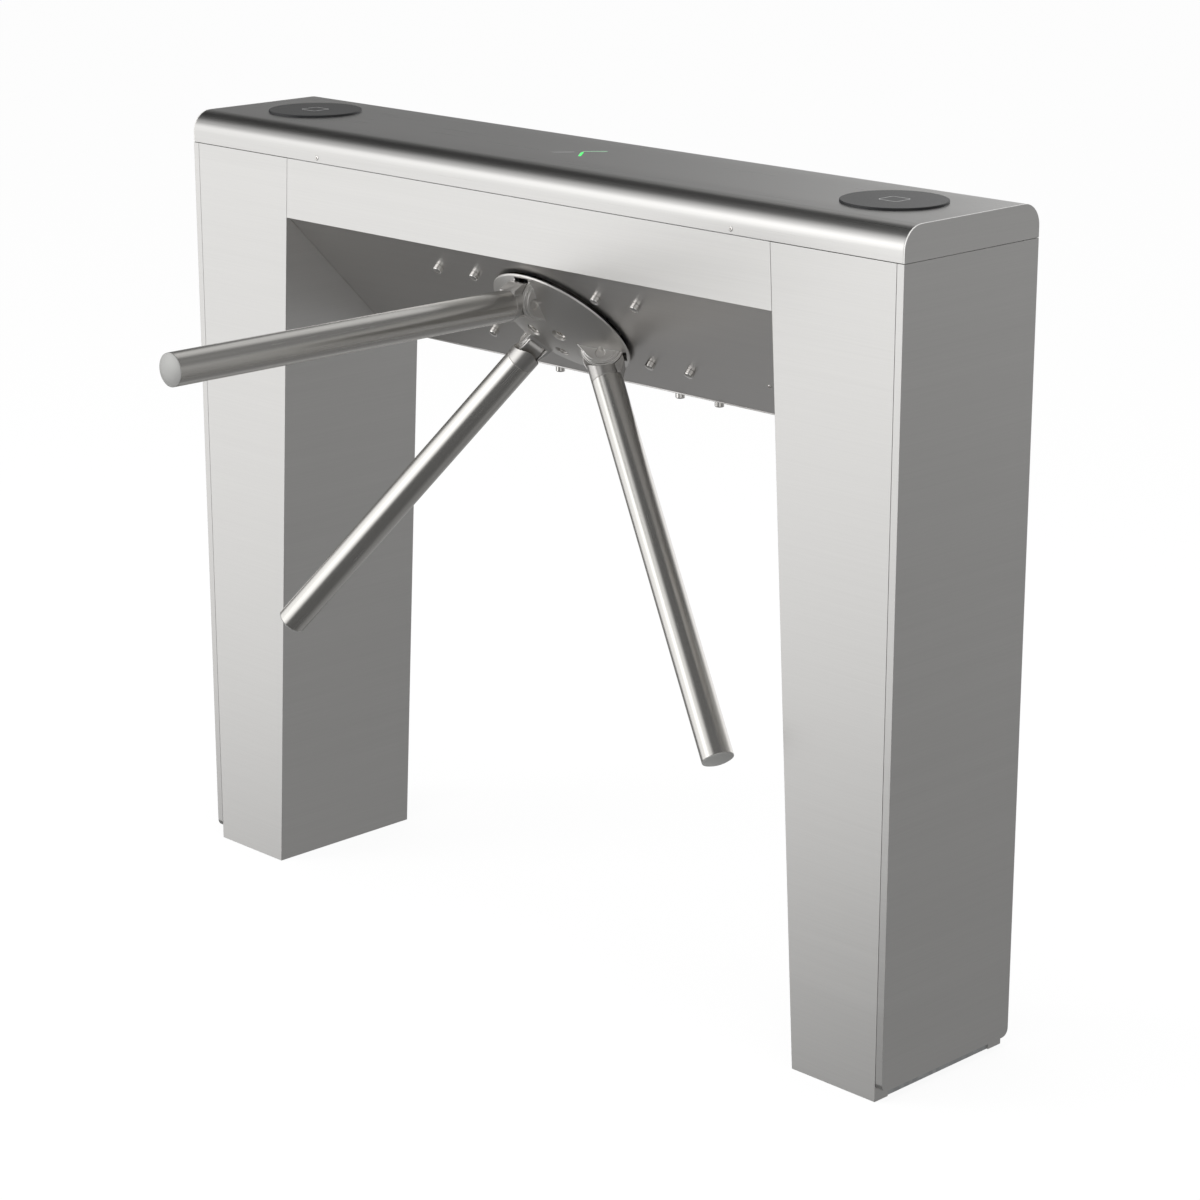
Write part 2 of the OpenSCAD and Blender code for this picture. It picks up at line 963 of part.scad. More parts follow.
// Shallow domed cap with a plug inside the tube end.
module arm_tip() {
  radius = tube_diameter / 2;
  rise = 4.5;
  ball = (radius * radius + rise * rise) / (2 * rise);
  intersection() {
    translate([0, 0, arm_reach + 1 + rise - ball])
      sphere(r = ball, $fn = 96);
    translate([0, 0, arm_reach])
      cylinder(r = radius, h = 10);
  }
  translate([0, 0, arm_reach - 15])
    cylinder(r = radius - tube_wall - running_gap, h = 15.5);
}

module arm_tip_front() {
  color("#b5b4b1")
    on_arm(0)
      arm_tip();
}

module arm_tips_side() {
  color("#b5b4b1")
    for (k = [1, 2])
      on_arm(k)
        arm_tip();
}

module release_ring() {
  color("#9a8f6a")
    on_head() {
      ring(-18, -13, 60, 40 + running_gap);
      for (k = [0, 1, 2])
        rotate([0, 0, 120 * k])
          span([-7, 51.5, -13.5], [7, 58, -6.5]);
    }
}

module release_coil() {
  color("#3a3f45")
    on_head()
      ring(-40, -19, 68, 43);
}

module lock_wheel() {
  color("#8a8c8e")
    on_head()
      difference() {
        union() {
          translate([0, 0, wheel_z])
            cylinder(r = wheel_radius, h = 8, $fn = 96);
          translate([0, 0, wheel_z + 7])
            cylinder(r = 20, h = 8);
        }
        translate([0, 0, wheel_z - 1])
          cylinder(r = 14 + running_gap, h = 20);
        for (i = [0:wheel_notches - 1])
          rotate([0, 0, i * 360 / wheel_notches])
            span([58, -7, wheel_z - 1], [80, 7, wheel_z + 9]);
        for (a = [45:90:315])
          rotate([0, 0, a])
            translate([37, 0, wheel_z - 1])
              cylinder(r = 9, h = 10);
      }
}

module pawl() {
  difference() {
    translate([0, 0, wheel_z])
      linear_extrude(height = 8)
        union() {
          translate([pawl_x, pawl_y])
            circle(r = 11);
          polygon([
            [pawl_x - 5, pawl_y + 6], [pawl_x + 8, pawl_y + 6],
            [85, link_y - 2], [85, link_y + 7], [74, link_y + 7], [75, 5],
            [68.3, 4.9], [68.3, -3.5], [75, -4.5]
          ]);
        }
    translate([pawl_x, pawl_y, wheel_z - 1])
      cylinder(r = 5 + running_gap, h = 10);
    translate([79.5, link_y, wheel_z - 1])
      cylinder(r = 3, h = 10);
  }
}

module pawl_left() {
  color("#7d7f82")
    on_head()
      left_side()
        pawl();
}

module pawl_right() {
  color("#7d7f82")
    on_head()
      pawl();
}

module pawl_pins() {
  color("#b9b9b7")
    on_head()
      both_sides()
        translate([pawl_x, pawl_y, 0]) {
          translate([0, 0, -126])
            cylinder(r = 5, h = 126 + chassis_z);
          ring(wheel_z + 8.3, chassis_z, 9, 4.8);
          ring(-126, wheel_z - 0.3, 9, 4.8);
        }
}

module plunger() {
  for (z = [wheel_z - 3.5, wheel_z + 8.5])
    span([75, link_y - 5, z], [92, link_y + 5, z + 3]);
  span([89, link_y - 5, wheel_z - 3.5], [92, link_y + 5, wheel_z + 11.5]);
  bar_x(112, link_y, wheel_z + 4, 5, 42);
  translate([79.5, link_y, wheel_z - 3])
    cylinder(r = 2.5, h = 14);
}

module plunger_left() {
  color("#c2c3c5")
    on_head()
      left_side()
        plunger();
}

module plunger_right() {
  color("#c2c3c5")
    on_head()
      plunger();
}

module solenoids() {
  color("#31486a")
    on_head()
      both_sides() {
        difference() {
          span([104, 20, -122], [152, 48, -94]);
          bar_x(120, link_y, wheel_z + 4, 5 + running_gap, 60);
        }
        span([104, 18, -94], [152, 50, -92]);
        span([104, 48, -94], [152, 50, chassis_z]);
        span([104, 18, -94], [152, 20, chassis_z]);
      }
}

module damper() {
  color("#4b4d50")
    on_head()
      difference() {
        union() {
          ring(-152, -132, 27, 8 + running_gap);
          span([-38, -9, -136], [38, 9, -132]);
        }
        translate([0, 0, -153])
          cylinder(r = 8 + running_gap, h = 24);
      }
}

module damper_bridge() {
  color("#b0a27a")
    on_head()
      difference() {
        union() {
          translate([0, 0, -132])
            linear_extrude(height = 6)
              polygon([[-84, -61], [84, -61], [84, -42], [71, 58], [-71, 58], [-84, -42]]);
          for (side = [-1, 1])
            translate([side * 63, 50, -127])
              cylinder(r = 6, h = 127 + chassis_z);
        }
        translate([0, 0, -133])
          cylinder(r = 12, h = 8);
      }
}

module sensor_board() {
  color("#2c6b3f")
    on_head() {
      span([-34, -64, -96], [34, -44, -94.4]);
      for (side = [-1, 1])
        translate([side * 26, -60, -94.8])
          cylinder(r = 3.5, h = 94.8 + chassis_z);
      span([-6, -58, -99.5], [6, -50, -95.5]);
    }
}

module controller_board() {
  board_y = inside_y - 10;
  low = head_z - 40;
  color("#2c6b3f")
    translate([board_left, 0, low]) {
      span([0, board_y, 0], [board_width, board_y + 1.6, 120]);
      for (x = [8, board_width - 8], z = [8, 112])
        translate([x, board_y + 1, z])
          rotate([-90, 0, 0])
            cylinder(r = 3, h = 9);
      span([0.1 * board_width, board_y - 14, 15], [0.9 * board_width, board_y + 0.5, 26]);
      span([0.12 * board_width, board_y - 20, 70], [0.33 * board_width, board_y + 0.5, 102]);
      span([0.5 * board_width, board_y - 8, 60], [0.7 * board_width, board_y + 0.5, 90]);
    }
}

module power_supply() {
  color("#a8a9ab")
    difference() {
      span([30 - half_length, inside_y - 42, 480], [120 - half_length, inside_y, 640]);
      for (z = [500:14:620])
        span([45 - half_length, inside_y - 43, z], [105 - half_length, inside_y - 40.5, z + 5]);
    }
}

leg_left();
leg_right();
base_plates();
end_cover_left();
end_cover_right();
cover_screws();
front_fascia();
slope_panel();
bottom_panel();
back_panel();
panel_screws();
bridge_rails();
panel_supports();
lid();
lid_ends();
lid_screws();
reader_disc_left();
reader_disc_right();
reader_module_left();
reader_module_right();
indicator_lens();
indicator_board();
chassis_plate();
chassis_spacers();
chassis_brackets();
head_bolts();
head_nuts();
bearing_housing();
housing_bolts();
bearing_outer_rings();
bearing_inner_rings();
main_shaft();
shaft_sleeve();
shaft_nuts();
hub_casting();
hub_screws();
lock_wheel();
release_ring();
release_coil();
arm_pins();
arm_root_front();
arm_root_left();
arm_root_right();
arm_tube_front();
arm_tube_left();
arm_tube_right();
arm_tip_front();
arm_tips_side();
pawl_left();
pawl_right();
pawl_pins();
plunger_left();
plunger_right();
solenoids();
damper();
damper_bridge();
sensor_board();
controller_board();
power_supply();
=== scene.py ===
import math

import bmesh
import bpy
from mathutils import Matrix, Vector


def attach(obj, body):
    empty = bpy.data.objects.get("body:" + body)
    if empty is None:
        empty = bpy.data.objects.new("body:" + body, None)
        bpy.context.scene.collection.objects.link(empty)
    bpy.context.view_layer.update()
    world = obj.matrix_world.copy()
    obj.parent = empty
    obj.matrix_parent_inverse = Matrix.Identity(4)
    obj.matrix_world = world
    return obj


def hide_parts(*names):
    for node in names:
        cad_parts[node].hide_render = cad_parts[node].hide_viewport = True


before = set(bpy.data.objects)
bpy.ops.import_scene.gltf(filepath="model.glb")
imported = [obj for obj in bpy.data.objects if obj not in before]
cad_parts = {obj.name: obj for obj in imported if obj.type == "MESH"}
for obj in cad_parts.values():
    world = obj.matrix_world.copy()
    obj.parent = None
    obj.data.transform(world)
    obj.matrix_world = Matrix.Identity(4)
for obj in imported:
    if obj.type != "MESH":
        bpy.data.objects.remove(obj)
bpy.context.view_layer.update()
bpy.context.scene.view_settings.view_transform = "Standard"

# Camera: it stands to the right of the arms and looks down at the cabinet from chest height.
# Lens, place and angles are worked out from the cabinet's own edges, with 1.2 m between its ends.
CAMERA_PLACE = (2.7343, -2.6656, 1.583)
CAMERA_AZIMUTH = math.radians(45.367)
CAMERA_DIP = math.radians(16.628)
CAMERA_LENS_MM = 96.6
SENSOR_MM = 36.0
CLIP_NEAR = 0.05
CLIP_FAR = 100.0

camera_data = bpy.data.cameras.new("camera")
camera_data.lens = CAMERA_LENS_MM
camera_data.sensor_width = SENSOR_MM
camera_data.clip_start = CLIP_NEAR
camera_data.clip_end = CLIP_FAR
camera = bpy.data.objects.new("camera", camera_data)
camera.location = CAMERA_PLACE
camera.rotation_euler = (math.pi / 2 - CAMERA_DIP, 0.0, CAMERA_AZIMUTH)
bpy.context.scene.collection.objects.link(camera)
bpy.context.scene.camera = camera


# Studio floor: plain white paper that runs out of sight on every side.
# It glows towards the camera, so that it stays white, and still takes the object's shadow.
def linear(colour):
    """An sRGB hex colour as linear red, green, blue and alpha."""
    parts = [int(colour[i : i + 2], 16) / 255 for i in (1, 3, 5)]
    return [c / 12.92 if c <= 0.04045 else ((c + 0.055) / 1.055) ** 2.4 for c in parts] + [1.0]


def add(tree, kind, settings=None, links=None):
    """Adds a node, sets its sockets and options, and links its inputs."""
    node = tree.nodes.new(kind)
    for name, value in (settings or {}).items():
        if isinstance(name, int) or name in node.inputs:
            node.inputs[name].default_value = value
        else:
            setattr(node, name, value)
    for name, source in (links or {}).items():
        tree.links.new(source, node.inputs[name])
    return node


def new_material(name):
    """An empty material, its node tree and its output node."""
    material = bpy.data.materials.new(name)
    material.use_nodes = True
    material.node_tree.nodes.clear()
    return material, material.node_tree, add(material.node_tree, "ShaderNodeOutputMaterial")


def new_piece(name, mesh, materials):
    """Links a mesh as an object with its materials."""
    piece = bpy.data.objects.new(name, mesh)
    bpy.context.scene.collection.objects.link(piece)
    for material in materials:
        mesh.materials.append(material)
    return piece


def seen_directly(tree):
    """1 where the camera, a mirror or a pane sees the surface, and 0 for diffuse light."""
    path = add(tree, "ShaderNodeLightPath")
    mirrored = add(
        tree,
        "ShaderNodeMath",
        {"operation": "MAXIMUM"},
        {0: path.outputs["Is Glossy Ray"], 1: path.outputs["Is Transmission Ray"]},
    )
    return add(
        tree,
        "ShaderNodeMath",
        {"operation": "MAXIMUM"},
        {0: path.outputs["Is Camera Ray"], 1: mirrored.outputs[0]},
    ).outputs[0]


FLOOR_HALF = 30.0
FLOOR_GLOW = 0.92

paper, tree, out = new_material("white_backdrop_paper")
flat = add(tree, "ShaderNodeBsdfDiffuse", {"Color": linear("#ffffff")})
glow = add(tree, "ShaderNodeEmission", {"Color": linear("#ffffff"), "Strength": 1.0})
share = add(
    tree, "ShaderNodeMath", {"operation": "MULTIPLY", 1: FLOOR_GLOW}, {0: seen_directly(tree)}
)
mix = add(
    tree, "ShaderNodeMixShader", None, {0: share.outputs[0], 1: flat.outputs[0], 2: glow.outputs[0]}
)
tree.links.new(mix.outputs[0], out.inputs["Surface"])

floor_mesh = bpy.data.meshes.new("floor")
corners = [(x * FLOOR_HALF, y * FLOOR_HALF, 0) for x, y in ((-1, -1), (1, -1), (1, 1), (-1, 1))]
floor_mesh.from_pydata(corners, [], [(0, 1, 2, 3)])
floor = new_piece("floor", floor_mesh, [paper])
floor.visible_glossy = False

# Studio air: an even pale world, pure white where the camera looks past the floor.
# It fills the shadows of painted and plastic pieces.
WORLD_LEVEL = 0.75

world = bpy.data.worlds.new("studio")
bpy.context.scene.world = world
world.use_nodes = True
tree = world.node_tree
tree.nodes.clear()
level = add(
    tree,
    "ShaderNodeMapRange",
    {"To Min": WORLD_LEVEL, "To Max": 1.0},
    {"Value": seen_directly(tree)},
)
sky = add(
    tree, "ShaderNodeBackground", {"Color": linear("#ffffff")}, {"Strength": level.outputs[0]}
)
add(tree, "ShaderNodeOutputWorld", None, {"Surface": sky.outputs[0]})

# Grey tent: a paper ball round the object that only its reflections see.
# Steel mirrors the lit patches on it as soft bright bands, and the two black cards as dark ones.
TENT_RADIUS = 8.0
TENT_SEGMENTS = 48
TENT_RINGS = 24
TENT_DARK = 0.12
TENT_BACK = 0.17
BACK_FADE_Y = (-0.1, 0.5)
BACK_FADE_Z = (0.6, 0.2)
# TENT_BACK is added behind the object: it fades in along y and out with height.
# A patch has its centre, what its distances are multiplied by along each axis, the radius within
# which it is full, the radius where it ends, and its level, which is below zero for a black card.
ROUND = (1.0, 1.0, 1.0)
FLATTENED = (1.0, 1.0, 1.7)
PATCHES = (
    ((-0.66, -0.70, 0.03), FLATTENED, 0.55, 0.87, 1.04),  # front left
    ((-0.30, -0.85, 0.42), ROUND, 0.25, 0.60, 0.90),  # front, higher
    ((-0.70, -0.47, 0.54), ROUND, 0.10, 0.34, 0.55),  # front left, higher
    ((-0.12, 0.99, 0.06), ROUND, 0.20, 0.74, 0.88),  # behind
    ((-0.24, 0.62, 0.74), ROUND, 0.20, 0.50, 0.60),  # over the back
    ((0.52, 0.33, 0.79), ROUND, 0.15, 0.42, 0.18),  # overhead at the right
    ((0.73, 0.65, 0.26), ROUND, 0.15, 0.47, 0.16),  # back right
    ((-0.65, 0.30, -0.70), ROUND, 0.30, 0.75, 0.10),  # low at the left
    ((0.70, 0.22, -0.68), ROUND, 0.25, 0.55, 0.10),  # low at the right
    ((0.82, -0.52, 0.18), ROUND, 0.35, 0.85, 0.50),  # front right
    ((-0.70, 0.12, 0.70), ROUND, 0.10, 0.36, -0.09),  # black card, for the lid's bend
    ((0.28, 0.68, -0.68), ROUND, 0.20, 0.50, -0.09),  # black card, for the arms' undersides
)


def lit_patch(tree, place, centre, stretch, inner, outer, level):
    """The glow of one patch: full within inner of its centre, and none beyond outer."""
    off = add(tree, "ShaderNodeVectorMath", {"operation": "SUBTRACT", 1: centre}, {0: place})
    wide = add(
        tree, "ShaderNodeVectorMath", {"operation": "MULTIPLY", 1: stretch}, {0: off.outputs[0]}
    )
    far = add(tree, "ShaderNodeVectorMath", {"operation": "LENGTH"}, {0: wide.outputs[0]})
    return add(
        tree,
        "ShaderNodeMapRange",
        {
            "interpolation_type": "SMOOTHSTEP",
            "From Min": outer,
            "From Max": inner,
            "To Min": 0.0,
            "To Max": level,
        },
        {"Value": far.outputs["Value"]},
    ).outputs[0]


tent_paper, tree, out = new_material("grey_tent_paper")
place = add(tree, "ShaderNodeTexCoord").outputs["Object"]
unit = add(tree, "ShaderNodeVectorMath", {"operation": "NORMALIZE"}, {0: place}).outputs[0]
parts = add(tree, "ShaderNodeSeparateXYZ", None, {0: unit})
behind = add(
    tree,
    "ShaderNodeMapRange",
    {
        "interpolation_type": "SMOOTHSTEP",
        "From Min": BACK_FADE_Y[0],
        "From Max": BACK_FADE_Y[1],
        "To Max": TENT_BACK,
    },
    {"Value": parts.outputs["Y"]},
)
low = add(
    tree,
    "ShaderNodeMapRange",
    {
        "interpolation_type": "SMOOTHSTEP",
        "From Min": BACK_FADE_Z[0],
        "From Max": BACK_FADE_Z[1],
    },
    {"Value": parts.outputs["Z"]},
)
grey = add(
    tree,
    "ShaderNodeMath",
    {"operation": "MULTIPLY_ADD", 2: TENT_DARK},
    {0: behind.outputs[0], 1: low.outputs[0]},
).outputs[0]
for patch in PATCHES:
    grey = add(
        tree, "ShaderNodeMath", {"operation": "ADD"}, {0: grey, 1: lit_patch(tree, unit, *patch)}
    ).outputs[0]
glow = add(tree, "ShaderNodeEmission", {"Color": linear("#ffffff")}, {"Strength": grey})
tree.links.new(glow.outputs[0], out.inputs["Surface"])
tent_paper.cycles.emission_sampling = "NONE"

tent_mesh = bpy.data.meshes.new("tent")
shape = bmesh.new()
bmesh.ops.create_uvsphere(
    shape, u_segments=TENT_SEGMENTS, v_segments=TENT_RINGS, radius=TENT_RADIUS
)
shape.to_mesh(tent_mesh)
shape.free()
tent = new_piece("tent", tent_mesh, [tent_paper])
tent.visible_camera = False
tent.visible_diffuse = False
tent.visible_transmission = False
tent.visible_volume_scatter = False
tent.visible_shadow = False


# Lamps: a big soft box at the front left and a soft one overhead, which light paint and plastic.
# Polished steel doesn't mirror them, because the tent stands for them there.
def soft_box(name, place, target, width, power):
    """A square area lamp that faces its target."""
    data = bpy.data.lights.new(name, "AREA")
    data.shape = "SQUARE"
    data.size = width
    data.energy = power
    lamp = bpy.data.objects.new(name, data)
    lamp.location = place
    lamp.rotation_euler = (Vector(target) - Vector(place)).to_track_quat("-Z", "Y").to_euler()
    lamp.visible_glossy = False
    bpy.context.scene.collection.objects.link(lamp)


soft_box("front_left_box", place=(-2.3, -2.9, 1.8), target=(0, 0, 0.7), width=1.6, power=60)
soft_box("overhead_box", place=(0.3, -0.6, 3.4), target=(0, 0, 0.6), width=2.5, power=60)


# Base plates: 6 mm steel plates with anchor holes and a cable entry, hot-dip galvanised.
# The zinc freezes in flat crystals a few millimetres wide, each its own shade of pale grey.
SPANGLE_MM = 7.0
WELD_WITHIN = 0.00001
FLAT_WITHIN = math.radians(0.5)
EDGE_STEPS = 2
EDGE_FROM = math.radians(32)


def finish(tree, out, pattern, colours, roughness, relief_mm, fixed):
    """Links a pattern from 0 to 1 to a surface's colour, roughness and relief."""
    tone = add(
        tree,
        "ShaderNodeMix",
        {"data_type": "RGBA", 6: linear(colours[0]), 7: linear(colours[1])},
        {0: pattern},
    )
    rough = add(
        tree,
        "ShaderNodeMapRange",
        {"To Min": roughness[0], "To Max": roughness[1]},
        {"Value": pattern},
    )
    relief = add(
        tree, "ShaderNodeBump", {"Strength": 1.0, "Distance": relief_mm / 1000}, {"Height": pattern}
    )
    shader = add(
        tree,
        "ShaderNodeBsdfPrincipled",
        fixed,
        {"Base Color": tone.outputs[2], "Roughness": rough.outputs[0], "Normal": relief.outputs[0]},
    )
    tree.links.new(shader.outputs[0], out.inputs["Surface"])


def dress(nodes, material, edge_mm=0.4):
    """Gives CAD nodes their finish, and breaks their sharp edges as a maker would."""
    for name in nodes:
        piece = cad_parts[name]
        piece.data.materials.clear()
        piece.data.materials.append(material)
        piece.data.polygons.foreach_set("use_smooth", [True] * len(piece.data.polygons))
        if "custom_normal" in piece.data.attributes:
            piece.data.attributes.remove(piece.data.attributes["custom_normal"])
        weld = piece.modifiers.new("weld", "WELD")
        weld.merge_threshold = WELD_WITHIN
        flatten = piece.modifiers.new("flatten", "DECIMATE")
        flatten.decimate_type = "DISSOLVE"
        flatten.angle_limit = FLAT_WITHIN
        bevel = piece.modifiers.new("edge", "BEVEL")
        bevel.width = edge_mm / 1000
        bevel.segments = EDGE_STEPS
        bevel.limit_method = "ANGLE"
        bevel.angle_limit = EDGE_FROM
        bevel.use_clamp_overlap = False
        bevel.harden_normals = True


galvanised, tree, out = new_material("hot_dip_galvanised_steel")
place = add(tree, "ShaderNodeTexCoord").outputs["Object"]
crystals = add(
    tree, "ShaderNodeTexVoronoi", {"Scale": 1000 / SPANGLE_MM, "Randomness": 1.0}, {"Vector": place}
)
spangle = add(tree, "ShaderNodeSeparateColor", None, {"Color": crystals.outputs["Color"]})
finish(
    tree,
    out,
    pattern=spangle.outputs[0],
    colours=("#bcbebf", "#d0d2d2"),
    roughness=(0.34, 0.52),
    relief_mm=0.02,
    fixed={"Metallic": 1.0},
)
dress(["base_plates"], galvanised)

# Legs and end covers: 2 mm stainless sheet, cut, bent and hooked together.
# It is brushed level along the cabinet, which draws faint streaks and blurs what it mirrors.
# The real lines are some 0.1 mm wide; they are drawn 1.3 mm wide, so that they show from afar.
STREAK_MM = 1.3
STREAK_LENGTH_MM = 160.0
BAND_MM = 14.0
BAND_LENGTH_MM = 1400.0
BAND_SHARE = 0.4
BRUSH_CONTRAST = (0.3, 0.7)
BRUSH_RELIEF_MM = 0.006


def brushed(name, colours, roughness, across, size=1.0, turn=(0.0, 0.0, 0.0)):
    """Brushed steel. across is 1 for each axis that the streaks run across, after the turn."""
    material, tree, out = new_material(name)
    place = add(tree, "ShaderNodeTexCoord").outputs["Object"]
    turned = add(tree, "ShaderNodeMapping", {"Rotation": turn}, {"Vector": place})
    noises = []
    for thin, long in ((STREAK_MM, STREAK_LENGTH_MM), (BAND_MM, BAND_LENGTH_MM)):
        scale = [1000 / (size * (thin if a else long)) for a in across]
        spread = add(tree, "ShaderNodeMapping", {"Scale": scale}, {"Vector": turned.outputs[0]})
        noise = add(
            tree, "ShaderNodeTexNoise", {"Scale": 1.0, "Detail": 2.0}, {"Vector": spread.outputs[0]}
        )
        noises.append(noise.outputs["Fac"])
    both = add(
        tree,
        "ShaderNodeMix",
        {"data_type": "FLOAT", "Factor": BAND_SHARE},
        {"A": noises[0], "B": noises[1]},
    )
    pattern = add(
        tree,
        "ShaderNodeMapRange",
        {"From Min": BRUSH_CONTRAST[0], "From Max": BRUSH_CONTRAST[1]},
        {"Value": both.outputs[0]},
    )
    finish(
        tree,
        out,
        pattern=pattern.outputs[0],
        colours=colours,
        roughness=roughness,
        relief_mm=BRUSH_RELIEF_MM,
        fixed={"Metallic": 1.0},
    )
    return material


sheet_steel = brushed(
    "brushed_stainless_sheet",
    colours=("#d2d1cf", "#d7d6d4"),
    roughness=(0.34, 0.38),
    across=(0, 0, 1),
)
dress(["leg_left", "leg_right", "end_cover_left", "end_cover_right"], sheet_steel)

# Small screws: stainless button heads with a hexagon socket, pressed bright.
# They hold the end covers from below, the sloped panel, the back panel and the lid.
SCREW_RADIUS = 3.0
SCREW_HEAD = 1.2
SCREW_SHANK = 2.0
SHANK_TOP = -0.01
SHANK_END = -4.0
SOCKET_RADIUS = 1.3
SOCKET_DEPTH = 1.6
CHAMFER_WIDTH = 0.12
CHAMFER_DEPTH = 0.08
# Rings of the rounded head: how far in from its rim, and at what share of its height.
HEAD_CROWN = ((1.0, 0.92), (0.3, 0.62), (0.0, 0.3))
SCREW_SIDES = 30
SCREW_SHARP = math.radians(40)
SPECKS_PER_MM = 0.9
MM = 0.001

bright_steel, tree, out = new_material("cold_headed_bright_stainless")
place = add(tree, "ShaderNodeTexCoord").outputs["Object"]
specks = add(
    tree, "ShaderNodeTexNoise", {"Scale": 1000 * SPECKS_PER_MM, "Detail": 2.0}, {"Vector": place}
)
finish(
    tree,
    out,
    pattern=specks.outputs["Fac"],
    colours=("#e6e4e1", "#f0eeeb"),
    roughness=(0.08, 0.16),
    relief_mm=0.003,
    fixed={"Metallic": 1.0},
)


def screw_rings(head):
    """Radius and height of a screw's rings, from socket to shank, and if each is a hexagon."""
    socket = [
        (SOCKET_RADIUS, head - SOCKET_DEPTH, True),
        (SOCKET_RADIUS, head - CHAMFER_DEPTH, True),
        (SOCKET_RADIUS + CHAMFER_WIDTH, head, True),
    ]
    crown = [(SCREW_RADIUS - inset, share * head, False) for inset, share in HEAD_CROWN]
    shank = [
        (SCREW_RADIUS, 0.0, False),
        (SCREW_SHANK, SHANK_TOP, False),
        (SCREW_SHANK, SHANK_END, False),
    ]
    return socket + crown + shank


def button_screws(name, node, spots, head, body):
    """One mesh of screws, each put on its seat, and facing away from the sheet."""
    shape = bmesh.new()
    for seat, outward in spots:
        turn = Vector((0, 0, 1)).rotation_difference(Vector(outward)).to_matrix()
        loops = []
        for radius, height, hexagonal in screw_rings(head):
            loop = []
            for i in range(SCREW_SIDES):
                angle = 2 * math.pi * i / SCREW_SIDES
                flat_to_corner = math.cos((angle + math.pi / 6) % (math.pi / 3) - math.pi / 6)
                reach = radius / flat_to_corner if hexagonal else radius
                spot = Vector((reach * math.cos(angle), reach * math.sin(angle), height)) * MM
                loop.append(shape.verts.new(turn @ spot + Vector(seat)))
            loops.append(loop)
        for a, b in zip(loops, loops[1:]):
            for i in range(SCREW_SIDES):
                j = (i + 1) % SCREW_SIDES
                shape.faces.new((a[i], b[i], b[j], a[j]))
        shape.faces.new(loops[0])
        shape.faces.new(loops[-1][::-1])
    bmesh.ops.recalc_face_normals(shape, faces=shape.faces)
    mesh = bpy.data.meshes.new(name)
    shape.to_mesh(mesh)
    shape.free()
    mesh.shade_smooth()
    mesh.set_sharp_from_angle(angle=SCREW_SHARP)
    piece = new_piece(name, mesh, [bright_steel])
    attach(piece, body)
    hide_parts(node)


dress(["cover_screws"], bright_steel, edge_mm=0.2)

# Bridge: two folded galvanised rails carry the fascia and the back panel, which are 2 mm sheet.
# Folded supports inside the legs carry the sloped panel.
SLOPE_SCREW_X = 298.0
SLOPE_SCREW_UP = -58.0
BACK_SCREW_X = (380.0, 130.0)
FACE_Y = 113.0
BACK_SCREW_Z = 726.0
HEAD_CENTRE = Vector((0.0, -27.04, 800.0))
UP_SLOPE = Vector((0.0, -0.70711, 0.70711))
OUT_OF_SLOPE = Vector((0.0, -0.70711, -0.70711))

dress(["bridge_rails", "panel_supports"], galvanised)
dress(["front_fascia", "back_panel"], sheet_steel)
slope_seats = [
    (
        (HEAD_CENTRE + UP_SLOPE * SLOPE_SCREW_UP + Vector((side * SLOPE_SCREW_X, 0, 0))) * MM,
        OUT_OF_SLOPE,
    )
    for side in (-1, 1)
]
back_seats = [
    (Vector((side * x, FACE_Y, BACK_SCREW_Z)) * MM, (0, 1, 0))
    for x in BACK_SCREW_X
    for side in (-1, 1)
]
button_screws(
    "panel_button_screws", "panel_screws", slope_seats + back_seats, SCREW_HEAD, "cabinet"
)

# Sloped drive panel and the narrow flat one below it: 3 and 2 mm stainless plate between the legs.
# They are brushed along the bridge like the legs, and mirror the darker room near the floor.
slope_steel = brushed(
    "brushed_stainless_plate",
    colours=("#d0cecc", "#d6d4d2"),
    roughness=(0.30, 0.36),
    across=(0, 1, 1),
)
dress(["slope_panel", "bottom_panel"], slope_steel)

# Power supply: a riveted case of thin zinc-plated sheet in the left leg.
# Clear zinc plating is a cool grey with faint clouds of blue and straw.
CLOUD_MM = 18.0

clear_zinc, tree, out = new_material("clear_zinc_plated_sheet")
place = add(tree, "ShaderNodeTexCoord").outputs["Object"]
clouds = add(
    tree, "ShaderNodeTexNoise", {"Scale": 1000 / CLOUD_MM, "Detail": 4.0}, {"Vector": place}
)
finish(
    tree,
    out,
    pattern=clouds.outputs["Fac"],
    colours=("#a3a9af", "#c3c1ba"),
    roughness=(0.28, 0.44),
    relief_mm=0.01,
    fixed={"Metallic": 1.0},
)
dress(["power_supply"], clear_zinc)

# Circuit boards: woven glass epoxy under green solder mask, with copper tracks that lie below it.
# The tracks show as straight lines a shade lighter than the mask, and the mask is half glossy.
TRACK_MM = 2.4
TRACK_PITCH_MM = 3 * TRACK_MM
TRACK_EDGE = (0.10, 0.16)
MASK_IOR = 1.55

green_board, tree, out = new_material("solder_masked_glass_epoxy")
place = add(tree, "ShaderNodeTexCoord").outputs["Object"]
tracks = add(
    tree,
    "ShaderNodeTexVoronoi",
    {"Scale": 1000 / TRACK_PITCH_MM, "distance": "MANHATTAN", "feature": "DISTANCE_TO_EDGE"},
    {"Vector": place},
)
copper = add(
    tree,
    "ShaderNodeMapRange",
    {"From Min": TRACK_EDGE[0], "From Max": TRACK_EDGE[1], "To Min": 1.0, "To Max": 0.0},
    {"Value": tracks.outputs["Distance"]},
)
finish(
    tree,
    out,
    pattern=copper.outputs[0],
    colours=("#1f5a33", "#3f8a55"),
    roughness=(0.28, 0.36),
    relief_mm=0.03,
    fixed={"Metallic": 0.0, "IOR": MASK_IOR},
)
dress(["controller_board", "sensor_board", "indicator_board"], green_board, edge_mm=0.2)

